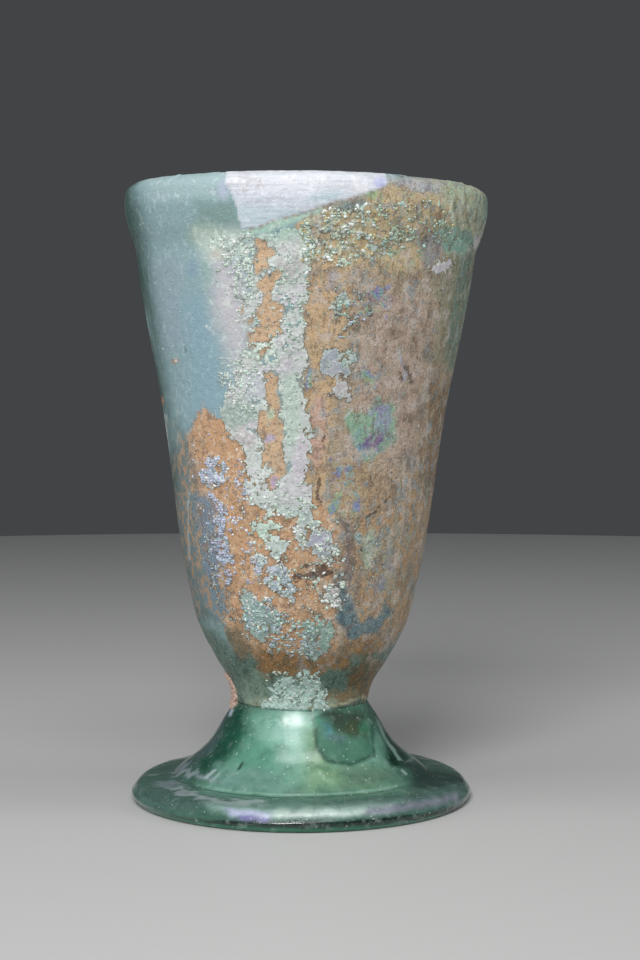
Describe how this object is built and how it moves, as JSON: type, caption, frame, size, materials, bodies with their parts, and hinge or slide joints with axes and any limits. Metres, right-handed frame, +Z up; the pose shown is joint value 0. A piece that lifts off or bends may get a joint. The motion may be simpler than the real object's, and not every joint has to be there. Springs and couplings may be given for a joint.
{
  "type": "ancient footed glass beaker",
  "caption": "Tall blown glass beaker: conical bowl with a swelling collar under a rounded lip, on a hollow trumpet foot with a tubular ring.",
  "frame": {"origin": "on the plane that the foot stands on, under the centre of the rim, which is the middle of the beaker's outline", "axes": "+Z up through the bowl, the bowl leans towards +X, -Y is the side that faces the viewer"},
  "size_m": [0.0764, 0.0764, 0.13],
  "materials": {
    "weathered_glass": "pitted and crusted with grey-green, lilac and ochre weathering, patches of bare green glass",
    "clean_glass": "clear sea-green, with bubbles and a thin iridescent film in patches",
    "burial_earth": "matte, lumpy, pinkish beige"
  },
  "bodies": {
    "root": {"bowl": "weathered_glass", "foot": "clean_glass", "joint_crust": "burial_earth"}
  },
  "joints": []
}
